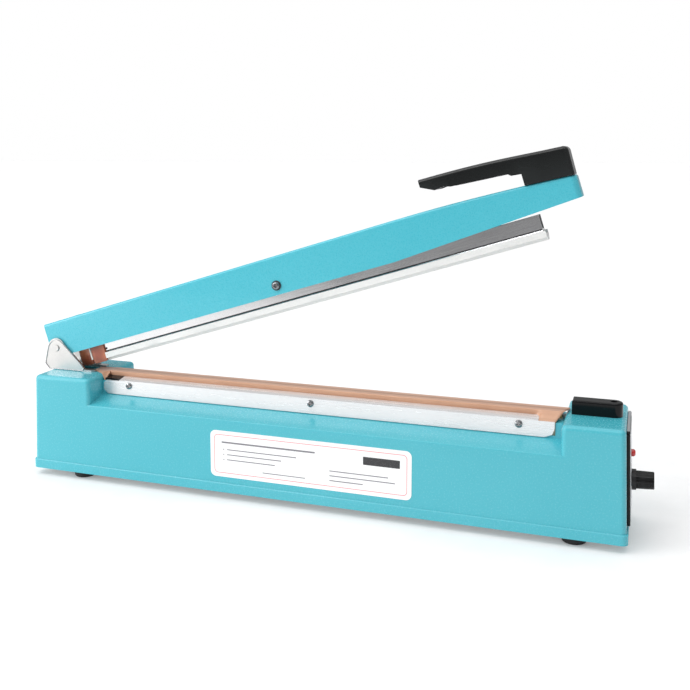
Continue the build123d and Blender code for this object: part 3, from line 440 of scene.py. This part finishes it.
# ------------------------------------------------------------------ coated cloth over the bed
def cloth_piece():
    rnd = random.Random(7)
    phases = [rnd.uniform(0, 6.28) for _ in range(12)]

    def arc_corner(p, q, r, rad, n=4):
        """Points round the corner q of the path p-q-r."""
        p, q, r = Vector(p), Vector(q), Vector(r)
        a, b = (p - q).normalized(), (r - q).normalized()
        half = a.angle(b) / 2
        d = rad / math.tan(half)
        c = q + (a + b).normalized() * (rad / math.sin(half))
        s, e = q + a * d - c, q + b * d - c
        out = []
        for i in range(n + 1):
            t = i / n
            v = s.normalized().slerp(e.normalized(), t) * rad if False else (s * (1 - t) + e * t).normalized() * rad
            out.append(tuple(c + v))
        return out

    front = [(-17.08, 81.2), (-17.08, 91.93), (-7.08, 93.58), (-7.08, 98.5), (0.0, 98.5)]
    half = []
    half += [(-17.08, 81.2), (-17.08, 84.8), (-17.08, 88.4)]
    half += arc_corner(front[0], front[1], front[2], 0.7)
    for i in range(1, 5):
        t = i / 5
        half.append((-17.08 + 10 * t, 91.93 + 1.65 * t))
    half += arc_corner(front[1], front[2], front[3], 0.7)
    for i in range(1, 4):
        half.append((-7.08, 94.3 + 3.4 * i / 4))
    half += arc_corner(front[2], front[3], front[4], 0.55)
    for i in range(1, 6):
        half.append((-6.4 + 6.4 * i / 6, 98.5))
    half.append((0.0, 98.5))
    path = half + [(-y, z) for y, z in reversed(half[:-1])]
    n = len(path)
    crest_f = min(range(n), key=lambda k: (abs(path[k][0] + 6.9) + abs(path[k][1] - 98.4)))
    crest_r = n - 1 - crest_f
    sh_f = min(range(n), key=lambda k: (abs(path[k][0] + 16.9) + abs(path[k][1] - 91.9)))
    sh_r = n - 1 - sh_f
    in_f = min(range(n), key=lambda k: (abs(path[k][0] + 7.1) + abs(path[k][1] - 94.4)))
    in_r = n - 1 - in_f
    xs = [-226 + 448 * i / 149 for i in range(150)]
    grid = []
    for x in xs:
        row = []
        for k, (y, z) in enumerate(path):
            # where this strand of the cloth ends
            if crest_f <= k <= crest_r:
                t = (k - crest_f) / (crest_r - crest_f)
                lo = -226.0
                hi = 218 + 4 * min(1.0, t / 0.7)
            elif k < crest_f:
                s = min(1.0, (crest_f - k) / max(1, crest_f - sh_f))
                lo = -207.0 if k >= in_f else -190.0
                hi = 218 - 5.5 * s
            else:
                s = min(1.0, (k - crest_r) / max(1, sh_r - crest_r))
                lo = -207.0 if k <= in_r else -190.0
                hi = 222 - 9 * s
            xx = x
            if x > 190:
                xx = 190 + (x - 190) * (hi - 190) / 32.0
            if x < -180:
                xx = -180 + (x + 180) * (lo + 180) / -46.0
            yy, zz = y, z
            # past the bed the sides hang straight from the crest to the clamp
            m = smoothstep((xx - 196.5) / 4)
            if m > 0 and (sh_f < k < crest_f or crest_r < k < sh_r):
                if k < crest_f:
                    t = (k - sh_f) / (crest_f - sh_f)
                    ly, lz = -17.08 + 10.1 * t, 91.93 + 6.5 * t
                else:
                    t = (sh_r - k) / (sh_r - crest_r)
                    ly, lz = 17.08 - 10.1 * t, 91.93 + 6.5 * t
                yy, zz = yy * (1 - m) + ly * m, zz * (1 - m) + lz * m
            # slight slack
            w = math.sin(xx * 0.061 + phases[0]) + 0.6 * math.sin(xx * 0.143 + phases[1]) + 0.4 * math.sin(xx * 0.31 + phases[2])
            if sh_f < k < crest_f:
                yy -= 0.10 * (0.5 + 0.5 * math.tanh(w))
            elif crest_r < k < sh_r:
                yy += 0.10 * (0.5 + 0.5 * math.tanh(w))
            elif crest_f <= k <= crest_r:
                zz -= 0.03 * (0.5 + 0.5 * math.tanh(w))
            if crest_f <= k <= crest_r:  # the tongue comes down onto the tower
                zz -= 1.05 * smoothstep((-206 - xx) / 11)
            row.append((xx, yy, zz))
        grid.append(row)
    verts = [Vector((OX + x, y, z)) * MM for row in grid for x, y, z in row]
    faces = []
    for i in range(len(xs) - 1):
        for k in range(n - 1):
            a = i * n + k
            faces.append((a, a + 1, a + n + 1, a + n))
    # the corner of the tongue that spreads over the tower's edge and hangs into the recess
    cols, rows = 26, 10
    k0 = len(verts)
    for i in range(cols + 1):
        x = -225.6 + 19.0 * i / cols
        yb = -6.4 - 9.6 * (x + 225.6) / 16.6 if x < -209 else -16.0 - (x + 209) * 0.42
        zc = 98.5 - 1.05 * smoothstep((-206 - x) / 11)
        if x < -213:
            zb = 97.32
        elif x < -209:
            zb = 93 + math.sqrt(max(0.0, 4.3 ** 2 - (x + 213) ** 2))
        else:
            zb = 93 + math.sqrt(max(0.0, 4.3 ** 2 - 16.0)) - (x + 209) * 1.3
        for j in range(rows + 1):
            t = j / rows
            y = -7.0 + (min(yb, -7.0) + 7.0) * t
            z = zc + (zb - zc) * (t if x > -212 else smoothstep(t * 1.6))
            verts.append(Vector((OX + x, y, z + 0.02)) * MM)
    for i in range(cols):
        for j in range(rows):
            a = k0 + i * (rows + 1) + j
            faces.append((a, a + rows + 1, a + rows + 2, a + 1))
    # its fold beside the pad
    w0 = len(verts)
    edge = [verts[k0 + cols * (rows + 1) + j] for j in range(rows + 1)]
    for p in edge:
        verts.append(p.copy())
        verts.append(Vector((p.x + 0.0002, p.y, min(p.z, 0.0938 + max(0.0, (p.y + 0.017)) * 0.02))))
    for j in range(rows):
        a = w0 + 2 * j
        faces.append((a, a + 1, a + 3, a + 2))
    o = make("cloth_cover", verts, faces, M["ptfe_tan"], None, smooth=50)
    so = o.modifiers.new("thickness", "SOLIDIFY")
    so.thickness = 0.16 * MM
    so.offset = 0
    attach(o, "base")
    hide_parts("ptfe_cloth")
    return o


cloth_piece()


# ------------------------------------------------------------------ torsion spring with its legs
def spring_piece():
    pts = []
    cx, cz, r, pitch = PIN_X, PIN_Z, 4.6, 2.3
    turns, y0 = 4.0, -4.6
    # leg on the bracket floor
    a0 = math.radians(-60)
    start = Vector((cx + r * math.cos(a0), y0, cz + r * math.sin(a0)))
    tan0 = Vector((-math.sin(a0), 0, math.cos(a0)))
    foot = Vector((cx + 9.5, y0 - 1.6, 99.75))
    knee = start - tan0 * 0.0
    for t in [i / 14 for i in range(14)]:
        p = foot.lerp(Vector((cx + 3.6, y0 - 1.2, cz - 8.5)), t)
        pts.append(p)
    c1 = Vector((cx + 3.6, y0 - 1.2, cz - 8.5))
    for i in range(8):
        t = i / 8
        mid = Vector((cx + 0.2, y0 - 0.6, cz - 5.4))
        pts.append(c1 * (1 - t) ** 2 + mid * 2 * t * (1 - t) + start * t * t)
    steps = 24 * int(turns)
    total = math.radians(360 * turns + 100)
    for i in range(steps + 1):
        t = i / steps
        a = a0 + total * t
        pts.append(Vector((cx + r * math.cos(a), y0 + 9.2 * t, cz + r * math.sin(a))))
    end = pts[-1]
    a = a0 + total
    d = Vector((-math.sin(a), 0, math.cos(a)))
    tip = arm_pt(12.5, y0 + 9.2 + 1.8, 22.2) / MM
    tip.x -= OX
    k1 = end + d * 3.0
    for i in range(1, 9):
        t = i / 8
        pts.append(end * (1 - t) ** 2 + k1 * 2 * t * (1 - t) + end.lerp(tip, 0.45) * t * t)
    q = pts[-1]
    for i in range(1, 11):
        pts.append(q.lerp(tip, i / 10))
    verts, faces = tube([Vector((p.x + OX, p.y, p.z)) * MM for p in pts], 0.8 * MM, 12)
    o = make("return_spring", verts, faces, M["spring_steel"], None, smooth=60)
    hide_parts("torsion_spring")
    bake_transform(o)
    return o


spring_piece()


# ------------------------------------------------------------------ bead along the hinge bracket's cheek outlines, in darker steel that paints shade along the edge
def bracket_rims():
    parts = []
    outline = [(-268.5, 97.6), (-271.0, 97.6), (-275.2, 102.5), (-273.5, 110.5), (-271.3, 119.4)]
    for i in range(1, 12):
        # arc through the top of the cheek
        t = i / 12
        a, b, c = Vector((-271.3, 119.4)), Vector((-264.0, 132.0)), Vector((-254.0, 121.9))
        outline.append(tuple(a * (1 - t) ** 2 + b * 2 * t * (1 - t) + c * t * t))
    outline += [(-254.0, 121.9), (-244.0, 112.5), (-234.0, 102.9), (-231.8, 99.8), (-233.2, 98.0), (-236.5, 97.6), (-250.0, 97.6), (-262.0, 97.6), (-268.5, 97.6)]
    for y in (-14.1, 14.1):
        v, f = tube([Vector((OX + x, y, z)) * MM for x, z in outline], 0.55 * MM, 10)
        parts.append((v, f))
    v, f = join(parts)
    # darker steel than the bracket: painted shade along the cheeks' outline
    make("bracket_rims", v, f, M["outline_shade_steel"], "base", smooth=60)


# ------------------------------------------------------------------ painted shade line and rivets of the pressure bar
def bar_trim():
    parts = []
    # thin dark strip on each side along the step between web and foot: painted shade
    for side in (-1, 1):
        y0, y1 = side * 5.9, side * 6.12
        pts = [(48.0, -16.35), (476.6, -16.35), (476.6, -15.55), (48.0, -15.55)]
        v = [arm_pt(a, y0, b) for a, b in pts] + [arm_pt(a, y1, b) for a, b in pts]
        f = [(0, 1, 2, 3), (7, 6, 5, 4)] + [(i, (i + 1) % 4, 4 + (i + 1) % 4, 4 + i) for i in range(4)]
        parts.append((v, f))
    v, f = join(parts)
    make("bar_shade_line", v, f, M["shade_line_dark"], "bar")
    parts = []
    for a, b, y in ((49.4, -13.6, 6.0), (50.2, -20.0, 8.0)):
        for side in (-1, 1):
            n, v, f = 16, [], []
            for r, h in ((1.05, -0.1), (1.05, 0.12), (0.75, 0.28), (0.0, 0.32)):
                if r == 0:
                    v.append(arm_pt(a, side * (y + h), b))
                else:
                    v += [arm_pt(a + r * math.cos(2 * math.pi * i / n), side * (y + h), b + r * math.sin(2 * math.pi * i / n)) for i in range(n)]
            for k in range(2):
                f += [(k * n + i, k * n + (i + 1) % n, (k + 1) * n + (i + 1) % n, (k + 1) * n + i) for i in range(n)]
            f += [(2 * n + i, 2 * n + (i + 1) % n, 3 * n) for i in range(n)]
            f.append(tuple(range(n))[::-1])
            parts.append((v, f))
    v, f = join(parts)
    make("bar_rivets", v, f, M["black_oxide"], "bar", smooth=50)


# ------------------------------------------------------------------ silicone profile that grips the bar's foot
def silicone_profile():
    section = [(-5.5, -22.45), (-8.02, -22.45), (-8.02, -17.5), (-8.12, -17.25), (-8.32, -17.35), (-8.34, -22.55), (-8.1, -22.8), (-6.1, -22.95),
               (-5.75, -23.3), (-5.6, -24.9), (-5.2, -25.3)]
    section = section + [(0.0, -25.3)] + [(-y, b) for y, b in reversed(section)]
    section += [(5.5, -19.6), (-5.5, -19.6)]
    n = len(section)
    verts, faces = [], []
    stations = [47.7 + 431.2 * i / 60 for i in range(61)]
    for i, a in enumerate(stations):
        w = 0.04 * math.sin(a * 0.11) + 0.03 * math.sin(a * 0.29 + 1.0)
        for y, b in section:
            k = 1.0 if abs(y) > 6 and b > -22.7 else 0.0
            verts.append(arm_pt(a, y + k * w * (1 if y > 0 else -1), b))
    for i in range(len(stations) - 1):
        for k in range(n):
            j = (k + 1) % n
            faces.append((i * n + k, i * n + j, (i + 1) * n + j, (i + 1) * n + k))
    faces.append(tuple(range(n)))
    faces.append(tuple((len(stations) - 1) * n + k for k in range(n))[::-1])
    o = make("silicone_profile", verts, faces, M["silicone_white"], "bar", smooth=40)
    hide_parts("silicone_strip")


def block(a0, a1, y0, y1, b0, b1, name, mat, body, bevel):
    v = [arm_pt(a, y, b) for b in (b0, b1) for a, y in ((a0, y0), (a1, y0), (a1, y1), (a0, y1))]
    f = [(3, 2, 1, 0), (4, 5, 6, 7), (0, 1, 5, 4), (1, 2, 6, 5), (2, 3, 7, 6), (3, 0, 4, 7)]
    return make(name, v, f, mat, body, smooth=40, bevel=bevel)


def panel_film():
    pts = [(-28.5, 0.25), (28.5, 0.25), (28.5, 2.3), (-28.5, 2.3)]
    v = [panel_pt(u, 87.02, w) for u, w in pts] + [panel_pt(u, 87.14, w) for u, w in pts]
    f = [(3, 2, 1, 0), (4, 5, 6, 7)] + [(i, (i + 1) % 4, 4 + (i + 1) % 4, 4 + i) for i in range(4)]
    make("panel_top_film", v, f, M["scale_film"], "base")


# ------------------------------------------------------------------ label print: border and plain rules, no lettering
def rounded(w, h, r, n=8):
    out = []
    for cx, cz, a0 in ((w / 2 - r, h / 2 - r, 0), (-w / 2 + r, h / 2 - r, 90), (-w / 2 + r, -h / 2 + r, 180), (w / 2 - r, -h / 2 + r, 270)):
        for i in range(n + 1):
            a = math.radians(a0 + 90 * i / n)
            out.append((cx + r * math.cos(a), cz + r * math.sin(a)))
    return out


def ring(outer, inner, place, depth):
    """A flat closed band between two outlines of equal count."""
    n = len(outer)
    verts, faces = [], []
    for d in (0.0, depth):
        verts += [place(x, z, d) for x, z in outer] + [place(x, z, d) for x, z in inner]
    for i in range(n):
        j = (i + 1) % n
        faces += [(i, j, n + j, n + i), (2 * n + i, 3 * n + i, 3 * n + j, 2 * n + j), (i, 2 * n + i, 2 * n + j, j), (n + i, n + j, 3 * n + j, 3 * n + i)]
    return verts, faces


def slab(outline, place, depth):
    n = len(outline)
    verts = [place(x, z, 0) for x, z in outline] + [place(x, z, depth) for x, z in outline]
    faces = [tuple(range(n))[::-1], tuple(range(n, 2 * n))]
    faces += [(i, (i + 1) % n, n + (i + 1) % n, n + i) for i in range(n)]
    return verts, faces


def join(parts):
    verts, faces = [], []
    for v, f in parts:
        k = len(verts)
        verts += v
        faces += [tuple(i + k for i in q) for q in f]
    return verts, faces


# darker steel for the bracket's outline bead: painted shade
M["outline_shade_steel"] = finish("outline_shade_steel", lin(150, 151, 153), lin(176, 177, 178), (0.16, 0.26), 1.0, fine=1400, bump=0.05)
# dark strip material for the step under the bar's web: painted shade
M["shade_line_dark"] = finish("shade_line_dark", lin(34, 34, 36), lin(48, 48, 50), (0.3, 0.5), 0.4, fine=900, stretch=(0.2, 1, 1), bump=0.05)
bracket_rims()
bar_trim()
silicone_profile()
block(30.25, 31.9, -7.3, 5.0, -20.8, -5.0, "pusher_facing", M["white_nylon"], "arm", 0.3)
panel_film()
M["print_red"] = finish("print_red", lin(222, 128, 134), lin(230, 142, 148), (0.2, 0.3), fine=1500, coat=0.4)
M["print_grey"] = finish("print_grey", lin(120, 118, 124), lin(132, 130, 136), (0.2, 0.3), fine=1500, coat=0.4)
M["print_black"] = finish("print_black", lin(34, 32, 36), lin(42, 40, 44), (0.2, 0.3), fine=1500, coat=0.4)
LX, LZ = 8.4, 42.0


def on_label(x, z, d):
    return Vector((OX + LX + x, -40.25 - d, LZ + z)) * MM


def box_at(x, z, w, h):
    r = min(0.5, h * 0.45)
    return [(x + a, z + b) for a, b in rounded(w, h, r, 3)]


v, f = ring(rounded(176.5, 35.0, 3.6), rounded(175.3, 33.8, 3.0), on_label, 0.03)
make("label_border", v, f, M["print_red"], "base", smooth=30)
bars = [slab(box_at(-37, 10.6, 88, 1.5), on_label, 0.03)]
for i, w in enumerate((66, 52, 46)):
    bars.append(slab(box_at(-76 + w / 2, 4.2 - 4.6 * i, w, 0.9), on_label, 0.03))
bars.append(slab(box_at(-22, -13.0, 40, 0.8), on_label, 0.03))
for i, w in enumerate((52, 58, 30)):
    bars.append(slab(box_at(20 + w / 2, -3.8 - 4.2 * i, w, 0.9), on_label, 0.03))
for i in range(3):
    bars.append(slab([(-79.0 + 0.6 * math.cos(a * math.pi / 6), 4.2 - 4.6 * i + 0.6 * math.sin(a * math.pi / 6)) for a in range(12)], on_label, 0.03))
v, f = join(bars)
make("label_rules", v, f, M["print_grey"], "base", smooth=30)
v, f = slab(box_at(66, 8.6, 32, 7.0), on_label, 0.03)
make("label_block", v, f, M["print_black"], "base", smooth=30)


# ------------------------------------------------------------------ dial scale on the control end
def dial():
    parts = []
    cu, cv = 0.0, 39.2

    def place(u, v, d):
        return panel_pt(u, v, 2.9 + d)

    for i in range(17):
        a = math.radians(225 - 270 * i / 16)
        r0, r1, hw = 10.4, (12.8 if i % 2 == 0 else 11.8), (0.28 if i % 2 == 0 else 0.18)
        ca, sa = math.cos(a), math.sin(a)
        out = [(cu + r * ca - s * hw * sa, cv + r * sa + s * hw * ca) for r, s in ((r0, -1), (r1, -1), (r1, 1), (r0, 1))]
        parts.append(slab(out, place, 0.03))
    # panel border
    o1 = [(a, b + 49) for a, b in rounded(50.0, 66.0, 2.0, 5)]
    o2 = [(a, b + 49) for a, b in rounded(49.0, 65.0, 1.6, 5)]
    parts.append(ring(o1, o2, place, 0.03))
    for k in range(9):
        txt = bpy.data.curves.new(f"digit_{k}", "FONT")
        txt.body = str(k)
        txt.size = 3.8
        txt.align_x = "CENTER"
        txt.align_y = "CENTER"
        t = bpy.data.objects.new(f"digit_{k}", txt)
        scene.collection.objects.link(t)
        bpy.context.view_layer.update()
        me = bpy.data.meshes.new_from_object(t.evaluated_get(bpy.context.evaluated_depsgraph_get()))
        a = math.radians(225 - 270 * k / 8)
        u0, v0 = cu + 15.3 * math.cos(a), cv + 15.3 * math.sin(a)
        bm = bmesh.new()
        bm.from_mesh(me)
        bmesh.ops.remove_doubles(bm, verts=bm.verts, dist=1e-5)
        bm.verts.index_update()
        ext = bmesh.ops.extrude_face_region(bm, geom=bm.faces[:])
        for g in ext["geom"]:
            if isinstance(g, bmesh.types.BMVert):
                g.co.z += 0.03
        bm.verts.index_update()
        parts.append(([place(u0 + v.co.x, v0 + v.co.y, v.co.z) for v in bm.verts], [tuple(v.index for v in fa.verts) for fa in bm.faces]))
        bm.free()
        bpy.data.objects.remove(t)
        bpy.data.meshes.remove(me)
        bpy.data.curves.remove(txt)
    v, f = join(parts)
    make("dial_scale", v, f, M["print_black"], "base", smooth=30)


dial()

# ------------------------------------------------------------------ floor and light
M["floor"] = finish("floor", (0.80, 0.80, 0.80, 1), (0.81, 0.81, 0.81, 1), (0.7, 0.8), fine=40, broad=2, spec=0.1)
for n in M["floor"].node_tree.nodes:
    if n.type == "BSDF_PRINCIPLED":
        n.inputs["Emission Color"].default_value = (1, 1, 1, 1)
        n.inputs["Emission Strength"].default_value = 0.16
floor = make("floor", [(-30, -1.0, 0), (30, -1.0, 0), (30, 30, 0), (-30, 30, 0)], [(0, 1, 2, 3)], M["floor"], None)

world = bpy.data.worlds.new("studio")
scene.world = world
world.use_nodes = True
wt = world.node_tree
wt.nodes.clear()
wo = wt.nodes.new("ShaderNodeOutputWorld")
bg = wt.nodes.new("ShaderNodeBackground")
tc = wt.nodes.new("ShaderNodeTexCoord")
sp = wt.nodes.new("ShaderNodeSeparateXYZ")
wt.links.new(tc.outputs["Generated"], sp.inputs[0])
ramp = wt.nodes.new("ShaderNodeValToRGB")
e = ramp.color_ramp.elements
e[0].position, e[0].color = 0.0, (0.36, 0.36, 0.365, 1)
e[1].position, e[1].color = 1.0, (0.90, 0.90, 0.91, 1)
for pos, val in ((0.03, 0.42), (0.10, 0.62), (0.22, 0.42), (0.40, 0.48), (0.7, 0.80)):
    el = ramp.color_ramp.elements.new(pos)
    el.color = (val, val, val * 1.01, 1)
wt.links.new(sp.outputs["Z"], ramp.inputs["Fac"])
wt.links.new(ramp.outputs["Color"], bg.inputs["Color"])
bg.inputs["Strength"].default_value = 0.80
plain = wt.nodes.new("ShaderNodeBackground")
plain.inputs["Color"].default_value = (1, 1, 1, 1)
plain.inputs["Strength"].default_value = 1.0
path = wt.nodes.new("ShaderNodeLightPath")
both = wt.nodes.new("ShaderNodeMixShader")
wt.links.new(path.outputs["Is Camera Ray"], both.inputs[0])
wt.links.new(bg.outputs["Background"], both.inputs[1])
wt.links.new(plain.outputs["Background"], both.inputs[2])
wt.links.new(both.outputs[0], wo.inputs["Surface"])


def area(name, loc, target, size, power, size_y=None):
    d = bpy.data.lights.new(name, "AREA")
    d.energy = power
    d.size = size
    if size_y:
        d.shape = "RECTANGLE"
        d.size_y = size_y
    o = bpy.data.objects.new(name, d)
    scene.collection.objects.link(o)
    o.location = loc
    o.rotation_euler = (Vector(target) - Vector(loc)).to_track_quat("-Z", "Y").to_euler()
    return o


def broad(name, toward, angle, strength):
    """A very large far-off soft light, even over the whole floor."""
    d = bpy.data.lights.new(name, "SUN")
    d.energy = strength
    d.angle = math.radians(angle)
    o = bpy.data.objects.new(name, d)
    scene.collection.objects.link(o)
    o.rotation_euler = Vector(toward).to_track_quat("-Z", "Y").to_euler()
    return o


broad("key", (0.85, 0.75, -0.95), 45, 0.85)
broad("top", (0.15, 0.05, -1.0), 70, 0.98)
area("left_fill", (-1.25, -0.75, 0.32), (-0.25, 0, 0.12), 0.7, 8.2)
area("strip_box", (0.0, -0.70, 1.15), (0, 0, 0.08), 1.6, 1.3, 0.018)
scene.view_settings.view_transform = "Standard"
scene.view_settings.look = "None"
